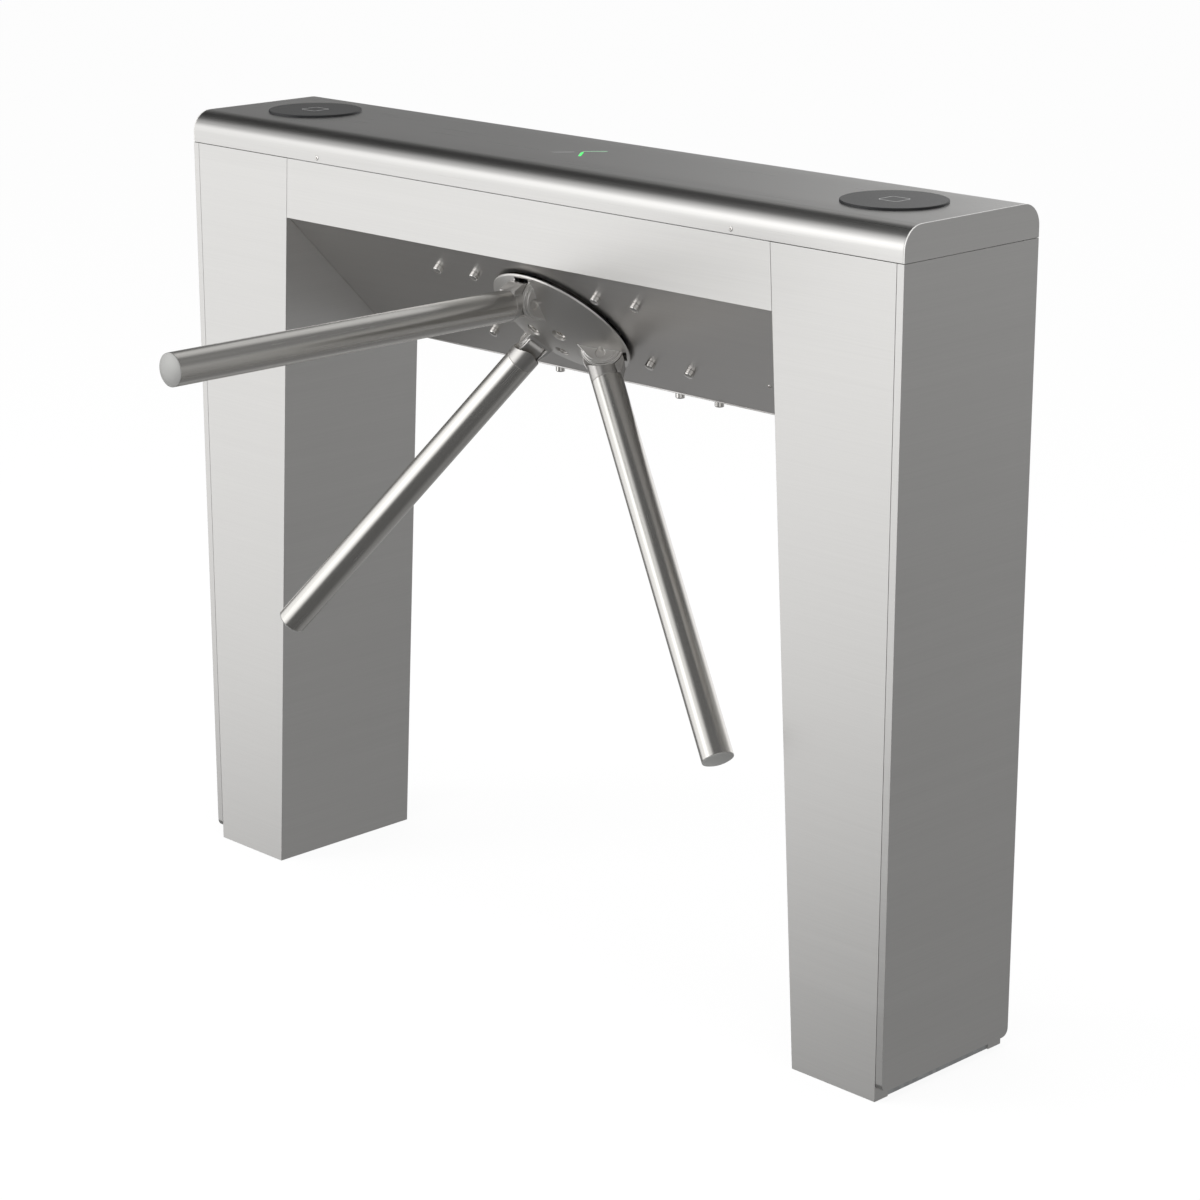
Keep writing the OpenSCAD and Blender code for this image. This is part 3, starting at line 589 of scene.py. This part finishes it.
# Drive chassis: a laser-cut plate on turned spacers behind the sloped panel, with folded brackets.
# All are yellow zinc plated, which gives a brassy grey with pink and green clouds.
yellow_zinc, tree, out = new_material("yellow_zinc_plated_steel")
place = add(tree, "ShaderNodeTexCoord").outputs["Object"]
clouds = add(
    tree, "ShaderNodeTexNoise", {"Scale": 1000 / CLOUD_MM, "Detail": 3.0}, {"Vector": place}
)
finish(
    tree,
    out,
    pattern=clouds.outputs["Fac"],
    colours=("#a9a07c", "#cdbd86"),
    roughness=(0.26, 0.42),
    relief_mm=0.01,
    fixed={"Metallic": 1.0},
)
dress(["chassis_plate", "chassis_spacers", "chassis_brackets", "damper_bridge"], yellow_zinc)

# Head bolts: eight stainless bolts with plain round heads on the slope and four on the flat panel.
# Their heads are turned and tumbled bright, so each draws a bright streak down its left side.
dress(["head_bolts"], bright_steel, edge_mm=0.5)
dress(["head_nuts", "housing_bolts"], clear_zinc, edge_mm=0.3)

# Bearing housing: an aluminium sand casting with a machined bore and flange.
# Blasting leaves a fine grain, drawn 1.2 mm wide, and a dull pale grey.
CAST_GRAIN_MM = 1.2

cast_aluminium, tree, out = new_material("blasted_cast_aluminium")
place = add(tree, "ShaderNodeTexCoord").outputs["Object"]
grain = add(
    tree, "ShaderNodeTexNoise", {"Scale": 1000 / CAST_GRAIN_MM, "Detail": 3.0}, {"Vector": place}
)
finish(
    tree,
    out,
    pattern=grain.outputs["Fac"],
    colours=("#8d8f90", "#b2b4b4"),
    roughness=(0.44, 0.60),
    relief_mm=0.05,
    fixed={"Metallic": 1.0},
)
dress(["bearing_housing"], cast_aluminium, edge_mm=0.8)

# Shaft, sleeve, nuts and bearing rings: turned and ground steel that turns with the head.
# Grinding round the shaft leaves fine rings and a cool bright grey. They are drawn 5 mm apart.
# A wave texture turns through 20 radians in a unit, so GRIND_MM is the width of one radian.
GRIND_MM = 0.8
WAVE_RADIANS = 20
HEAD_TILT = math.radians(-135.0)

ground_steel, tree, out = new_material("ground_bearing_steel")
place = add(tree, "ShaderNodeTexCoord").outputs["Object"]
tilted = add(tree, "ShaderNodeMapping", {"Rotation": (HEAD_TILT, 0.0, 0.0)}, {"Vector": place})
rings = add(
    tree,
    "ShaderNodeTexWave",
    {"bands_direction": "Z", "Scale": 1000 / (GRIND_MM * WAVE_RADIANS), "Distortion": 0.6},
    {"Vector": tilted.outputs[0]},
)
finish(
    tree,
    out,
    pattern=rings.outputs["Fac"],
    colours=("#a9abad", "#cfd0d1"),
    roughness=(0.16, 0.28),
    relief_mm=0.004,
    fixed={"Metallic": 1.0},
)
dress(
    ["bearing_outer_rings", "bearing_inner_rings", "main_shaft", "shaft_sleeve", "shaft_nuts"],
    ground_steel,
    edge_mm=0.3,
)

# Lock wheel and its two pawls: plate steel, cut, case hardened and left oiled.
# Hardening browns and blues the grey in soft patches.
TEMPER_MM = 12.0

hardened_steel, tree, out = new_material("case_hardened_steel")
place = add(tree, "ShaderNodeTexCoord").outputs["Object"]
temper = add(
    tree, "ShaderNodeTexNoise", {"Scale": 1000 / TEMPER_MM, "Detail": 3.0}, {"Vector": place}
)
finish(
    tree,
    out,
    pattern=temper.outputs["Fac"],
    colours=("#6f7276", "#98958f"),
    roughness=(0.26, 0.42),
    relief_mm=0.02,
    fixed={"Metallic": 1.0},
)
dress(["lock_wheel", "pawl_left", "pawl_right"], hardened_steel)
dress(["pawl_pins", "plunger_left", "plunger_right"], ground_steel, edge_mm=0.3)

# Solenoids and release coil: copper wire wound on bobbins under dark polyester tape.
# The tape's turns show as soft ridges 19 mm apart with a slight sheen, 3 mm for each radian.
TAPE_MM = 3.0

wound_tape, tree, out = new_material("polyester_taped_winding")
place = add(tree, "ShaderNodeTexCoord").outputs["Object"]
tilted = add(tree, "ShaderNodeMapping", {"Rotation": (HEAD_TILT, 0.0, 0.0)}, {"Vector": place})
turns = add(
    tree,
    "ShaderNodeTexWave",
    {"bands_direction": "Z", "Scale": 1000 / (TAPE_MM * WAVE_RADIANS), "Distortion": 0.2},
    {"Vector": tilted.outputs[0]},
)
finish(
    tree,
    out,
    pattern=turns.outputs["Fac"],
    colours=("#262b35", "#3a4355"),
    roughness=(0.34, 0.48),
    relief_mm=0.15,
    fixed={"Metallic": 0.0},
)
dress(["release_coil", "solenoids"], wound_tape)
dress(["release_ring"], hardened_steel)

# Damper: a steel drum filled with silicone oil, painted dark grey.
# Sprayed paint over steel is half glossy, with a fine orange peel.
PEEL_MM = 2.0

dark_paint, tree, out = new_material("sprayed_dark_grey_paint")
place = add(tree, "ShaderNodeTexCoord").outputs["Object"]
peel = add(tree, "ShaderNodeTexNoise", {"Scale": 1000 / PEEL_MM, "Detail": 1.0}, {"Vector": place})
finish(
    tree,
    out,
    pattern=peel.outputs["Fac"],
    colours=("#44484b", "#4e5255"),
    roughness=(0.30, 0.38),
    relief_mm=0.03,
    fixed={"Metallic": 0.0},
)
dress(["damper"], dark_paint)

# Head: a low domed disc with three pairs of ears, cast in aluminium in one piece and blasted.
# The fine grain blurs what it mirrors, so the dome looks soft and even between its bright rims.
# The remesh rounds every corner as a casting has it, and the edges catch the light.
CAST_VOXEL = 0.0005
CAST_SMOOTHING = 3
SMOOTHING_STEP = 0.5
CAST_SHARE = 0.3


def cast_piece(name, node, material, body):
    """A casting in place of its CAD solid, with all its edges softened."""
    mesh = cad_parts[node].data.copy()
    mesh.name = name
    mesh.materials.clear()
    if "custom_normal" in mesh.attributes:
        mesh.attributes.remove(mesh.attributes["custom_normal"])
    piece = new_piece(name, mesh, [material])
    weld = piece.modifiers.new("weld", "WELD")
    weld.merge_threshold = WELD_WITHIN
    skin = piece.modifiers.new("skin", "REMESH")
    skin.mode = "VOXEL"
    skin.voxel_size = CAST_VOXEL
    skin.use_smooth_shade = True
    soften = piece.modifiers.new("soften", "SMOOTH")
    soften.factor = SMOOTHING_STEP
    soften.iterations = CAST_SMOOTHING
    thin = piece.modifiers.new("thin", "DECIMATE")
    thin.ratio = CAST_SHARE
    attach(piece, body)
    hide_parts(node)


head_aluminium, tree, out = new_material("satin_blasted_aluminium_casting")
place = add(tree, "ShaderNodeTexCoord").outputs["Object"]
grain = add(
    tree, "ShaderNodeTexNoise", {"Scale": 1000 / CAST_GRAIN_MM, "Detail": 3.0}, {"Vector": place}
)
finish(
    tree,
    out,
    pattern=grain.outputs["Fac"],
    colours=("#dddbd8", "#e6e4e1"),
    roughness=(0.35, 0.43),
    relief_mm=0.012,
    fixed={"Metallic": 1.0},
)
cast_piece("head_casting", "hub_casting", head_aluminium, "rotor")
dress(["hub_screws", "arm_pins"], bright_steel, edge_mm=0.4)

# Arm roots: steel castings with a tongue between the ears and a lug that stops the arm.
# They are ground and satin polished, so they mirror more sharply than the head.
satin_casting, tree, out = new_material("satin_polished_steel_casting")
place = add(tree, "ShaderNodeTexCoord").outputs["Object"]
grain = add(
    tree, "ShaderNodeTexNoise", {"Scale": 1000 / CAST_GRAIN_MM, "Detail": 2.0}, {"Vector": place}
)
finish(
    tree,
    out,
    pattern=grain.outputs["Fac"],
    colours=("#bdbbb8", "#cbc9c6"),
    roughness=(0.28, 0.36),
    relief_mm=0.006,
    fixed={"Metallic": 1.0},
)
dress(["arm_root_front", "arm_root_left", "arm_root_right"], satin_casting, edge_mm=0.6)

# Arms: 38 mm stainless tube with a 1.5 mm wall, each closed with a shallow pressed cap.
# Satin belt polishing along the tube leaves it almost smooth, so it mirrors long soft bands.
ARM_STREAK_SHARE = 0.4

for arm, angle in (("front", 0.0), ("left", 120.0), ("right", 240.0)):
    along = Matrix.Rotation(math.radians(angle), 3, OUT_OF_SLOPE) @ Vector((0, -1, 0))
    to_upright = along.rotation_difference(Vector((0, 0, 1))).to_euler()
    tube_steel = brushed(
        "satin_stainless_tube_" + arm,
        colours=("#d2d0cc", "#dcdad6"),
        roughness=(0.23, 0.28),
        across=(1, 1, 0),
        size=ARM_STREAK_SHARE,
        turn=tuple(to_upright),
    )
    dress(["arm_tube_" + arm], tube_steel)

# The caps are bead blasted, which leaves them a flat mid grey next to the bright tube.
# Their fine pits scatter light as a matt surface does, so they count as only partly metallic.
BLAST_MM = 0.8
CAP_METALLIC = 0.45

cap_steel, tree, out = new_material("bead_blasted_stainless_cap")
place = add(tree, "ShaderNodeTexCoord").outputs["Object"]
haze = add(
    tree, "ShaderNodeTexNoise", {"Scale": 1000 / BLAST_MM, "Detail": 2.0}, {"Vector": place}
)
finish(
    tree,
    out,
    pattern=haze.outputs["Fac"],
    colours=("#a0a09e", "#a8a8a6"),
    roughness=(0.40, 0.48),
    relief_mm=0.004,
    fixed={"Metallic": CAP_METALLIC},
)
dress(["arm_tip_front", "arm_tips_side"], cap_steel, edge_mm=0.5)

# Lid: one 2 mm sheet bent over the front and back edges, with a flat 2 mm plate on each end.
# It is brushed along the cabinet and held by two low button screws on each side.
LID_SCREW_X = 352.0
LID_SCREW_Z = 964.5
LID_SCREW_HEAD = 0.7

lid_steel = brushed(
    "brushed_stainless_lid",
    colours=("#cdccca", "#d3d2d0"),
    roughness=(0.27, 0.31),
    across=(0, 1, 1),
)
dress(["lid"], lid_steel)

# Painted highlight: the rim of each end plate is drawn as a fine light line round the lid's end.
# Where the surface turns away from the end, it counts as less metallic, so that it is pale and
# mirrors little. The paleness is painted onto the rim in place of a lit edge.
RIM_HIGHLIGHT_METALLIC = 0.25
RIM_HIGHLIGHT_TURN = (0.85, 0.95)

end_steel_painted_rim = brushed(
    "brushed_stainless_lid_end_painted_rim",
    colours=("#d2d1cf", "#d7d6d4"),
    roughness=(0.34, 0.38),
    across=(0, 0, 1),
)
tree = end_steel_painted_rim.node_tree
normal = add(tree, "ShaderNodeNewGeometry").outputs["Normal"]
parts = add(tree, "ShaderNodeSeparateXYZ", None, {0: normal})
endways = add(tree, "ShaderNodeMath", {"operation": "ABSOLUTE"}, {0: parts.outputs["X"]})
# Painted highlight: metallic drops where the normal turns away from the end, so the rim shows pale.
metallic = add(
    tree,
    "ShaderNodeMapRange",
    {"From Min": RIM_HIGHLIGHT_TURN[0], "From Max": RIM_HIGHLIGHT_TURN[1], "To Min": RIM_HIGHLIGHT_METALLIC, "To Max": 1.0},
    {"Value": endways.outputs[0]},
)
tree.links.new(metallic.outputs[0], tree.nodes["Principled BSDF"].inputs["Metallic"])
dress(["lid_ends"], end_steel_painted_rim)
lid_seats = [
    (Vector((x, side * FACE_Y, LID_SCREW_Z)) * MM, (0, side, 0))
    for x in (-LID_SCREW_X, LID_SCREW_X)
    for side in (-1, 1)
]
button_screws("lid_button_screws", "lid_screws", lid_seats, LID_SCREW_HEAD, "cabinet")

# Reader modules: moulded black boxes that clamp up under the lid, ABS with a spark-eroded skin.
# The eroded skin is a fine even grain, drawn 1 mm wide, which keeps the black from shining.
ERODED_MM = 1.0
ABS_IOR = 1.53

black_abs, tree, out = new_material("moulded_black_abs")
place = add(tree, "ShaderNodeTexCoord").outputs["Object"]
skin = add(
    tree, "ShaderNodeTexNoise", {"Scale": 1000 / ERODED_MM, "Detail": 2.0}, {"Vector": place}
)
finish(
    tree,
    out,
    pattern=skin.outputs["Fac"],
    colours=("#17181a", "#202123"),
    roughness=(0.42, 0.55),
    relief_mm=0.03,
    fixed={"Metallic": 0.0, "IOR": ABS_IOR},
)
dress(["reader_module_left", "reader_module_right"], black_abs)

# Reader discs: 120 mm discs of smoked acrylic, let into the lid and standing 2.5 mm proud of it.
# A thin rounded square is printed under the acrylic, where a card is held, and the rim is black.
# The face is finely matted and mirrors a little less than clear acrylic, so it stays dark.
DISC_X = 489.0
DISC_TOP = 1000.5
# Radius and height of the disc's rings, from its underside to the edge of its face.
DISC_RINGS = (
    (55.7, 992.0),
    (55.7, 998.0),
    (60.0, 998.0),
    (60.0, 999.7),
    (59.8, 1000.2),
    (59.2, DISC_TOP),
)
DISC_SIDES = 120
LINE_SLOT = 1
RIM_SLOT = 2
MARK_SIDE = 27.0
MARK_CORNER = 4.5
MARK_LINE = 1.1
MARK_STEPS = 8
DISC_SHARP = math.radians(25)
HAZE_PER_MM = 0.06
INK_GRAIN_MM = 2.5
ACRYLIC_IOR = 1.49
MATTED_SPECULAR = 0.4

smoked_acrylic, tree, out = new_material("smoked_acrylic")
place = add(tree, "ShaderNodeTexCoord").outputs["Object"]
haze = add(
    tree, "ShaderNodeTexNoise", {"Scale": 1000 * HAZE_PER_MM, "Detail": 4.0}, {"Vector": place}
)
finish(
    tree,
    out,
    pattern=haze.outputs["Fac"],
    colours=("#161616", "#191919"),
    roughness=(0.24, 0.27),
    relief_mm=0.002,
    fixed={"Metallic": 0.0, "IOR": ACRYLIC_IOR, "Specular IOR Level": MATTED_SPECULAR},
)
printed_line, tree, out = new_material("grey_ink_under_acrylic")
place = add(tree, "ShaderNodeTexCoord").outputs["Object"]
haze = add(
    tree, "ShaderNodeTexNoise", {"Scale": 1000 / INK_GRAIN_MM, "Detail": 2.0}, {"Vector": place}
)
finish(
    tree,
    out,
    pattern=haze.outputs["Fac"],
    colours=("#a2a2a2", "#aeaeae"),
    roughness=(0.24, 0.27),
    relief_mm=0.002,
    fixed={"Metallic": 0.0, "IOR": ACRYLIC_IOR},
)


def rounded_square(side, corner):
    """Points of a rounded square round the origin."""
    points = []
    for quarter in range(4):
        middle = Vector((side / 2 - corner, side / 2 - corner))
        for step in range(MARK_STEPS + 1):
            angle = math.pi / 2 * step / MARK_STEPS
            spot = middle + corner * Vector((math.cos(angle), math.sin(angle)))
            points.append(Matrix.Rotation(math.pi / 2 * quarter, 2) @ spot)
    return points


def reader_disc(name, node, centre_x):
    """The disc's turned rim, its flat top, and the printed line as faces of that top."""
    shape = bmesh.new()

    def ring_of(points, height):
        return [shape.verts.new(Vector((centre_x + x, y, height)) * MM) for x, y in points]

    circle = [2 * math.pi * i / DISC_SIDES for i in range(DISC_SIDES)]
    loops = [
        ring_of([(radius * math.cos(a), radius * math.sin(a)) for a in circle], height)
        for radius, height in DISC_RINGS
    ]
    for a, b in zip(loops, loops[1:]):
        for i in range(DISC_SIDES):
            j = (i + 1) % DISC_SIDES
            shape.faces.new((a[i], a[j], b[j], b[i])).material_index = RIM_SLOT
    shape.faces.new(loops[0][::-1]).material_index = RIM_SLOT
    outer = ring_of(rounded_square(MARK_SIDE, MARK_CORNER), DISC_TOP)
    inner = ring_of(rounded_square(MARK_SIDE - 2 * MARK_LINE, MARK_CORNER - MARK_LINE), DISC_TOP)
    count = len(outer)
    for i in range(count):
        j = (i + 1) % count
        shape.faces.new((outer[i], outer[j], inner[j], inner[i])).material_index = LINE_SLOT
    shape.faces.new(inner)
    rim = [shape.edges.get((loops[-1][i], loops[-1][i - 1])) for i in range(DISC_SIDES)]
    hole = [shape.edges.get((outer[i], outer[i - 1])) for i in range(count)]
    bmesh.ops.triangle_fill(shape, edges=rim + hole, use_beauty=True, normal=(0, 0, 1))
    mesh = bpy.data.meshes.new(name)
    shape.to_mesh(mesh)
    shape.free()
    mesh.shade_smooth()
    mesh.set_sharp_from_angle(angle=DISC_SHARP)
    piece = new_piece(name, mesh, [smoked_acrylic, printed_line, black_abs])
    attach(piece, "cabinet")
    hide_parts(node)


reader_disc("left_reader_disc", "reader_disc_left", -DISC_X)
reader_disc("right_reader_disc", "reader_disc_right", DISC_X)

# Indicator: three strokes of clear acrylic, flush in slots of the lid, over a small light board.
# The stroke to the front is bright green, the right one pale green and the left one unlit grey.
# The sum of x and y is lowest on the left stroke, and x less y is lowest on the right one.
LEFT_SUM = -0.004
FRONT_DIFFERENCE = -0.003
BRIGHT_GLOW = 0.55
PALE_GLOW = 0.15
FROSTING_MM = 2.0
FROSTED_ROUGHNESS = 0.3

light_acrylic, tree, out = new_material("diffusing_acrylic_strokes")
place = add(tree, "ShaderNodeTexCoord").outputs["Object"]
parts = add(tree, "ShaderNodeSeparateXYZ", None, {0: place})
towards_right = add(
    tree, "ShaderNodeMath", {"operation": "ADD"}, {0: parts.outputs["X"], 1: parts.outputs["Y"]}
)
towards_front = add(
    tree,
    "ShaderNodeMath",
    {"operation": "SUBTRACT"},
    {0: parts.outputs["X"], 1: parts.outputs["Y"]},
)
is_front = add(
    tree,
    "ShaderNodeMath",
    {"operation": "GREATER_THAN", 1: FRONT_DIFFERENCE},
    {0: towards_front.outputs[0]},
).outputs[0]
is_left = add(
    tree,
    "ShaderNodeMath",
    {"operation": "LESS_THAN", 1: LEFT_SUM},
    {0: towards_right.outputs[0]},
).outputs[0]
haze = add(
    tree, "ShaderNodeTexNoise", {"Scale": 1000 / FROSTING_MM, "Detail": 2.0}, {"Vector": place}
)
pale = add(
    tree,
    "ShaderNodeMix",
    {"data_type": "RGBA", 6: linear("#7fae8a"), 7: linear("#93c49e")},
    {0: haze.outputs["Fac"]},
)
bright = add(
    tree,
    "ShaderNodeMix",
    {"data_type": "RGBA", 7: linear("#4ad96a")},
    {0: is_front, 6: pale.outputs[2]},
)
colour = add(
    tree,
    "ShaderNodeMix",
    {"data_type": "RGBA", 7: linear("#8d8d8d")},
    {0: is_left, 6: bright.outputs[2]},
)
lit = add(
    tree,
    "ShaderNodeMapRange",
    {"To Min": PALE_GLOW, "To Max": BRIGHT_GLOW},
    {"Value": is_front},
)
unlit = add(tree, "ShaderNodeMath", {"operation": "SUBTRACT", 0: 1.0}, {1: is_left})
strength = add(
    tree, "ShaderNodeMath", {"operation": "MULTIPLY"}, {0: lit.outputs[0], 1: unlit.outputs[0]}
)
shader = add(
    tree,
    "ShaderNodeBsdfPrincipled",
    {"Metallic": 0.0, "Roughness": FROSTED_ROUGHNESS, "IOR": ACRYLIC_IOR},
    {
        "Base Color": colour.outputs[2],
        "Emission Color": colour.outputs[2],
        "Emission Strength": strength.outputs[0],
    },
)
tree.links.new(shader.outputs[0], out.inputs["Surface"])
dress(["indicator_lens"], light_acrylic, edge_mm=0.15)
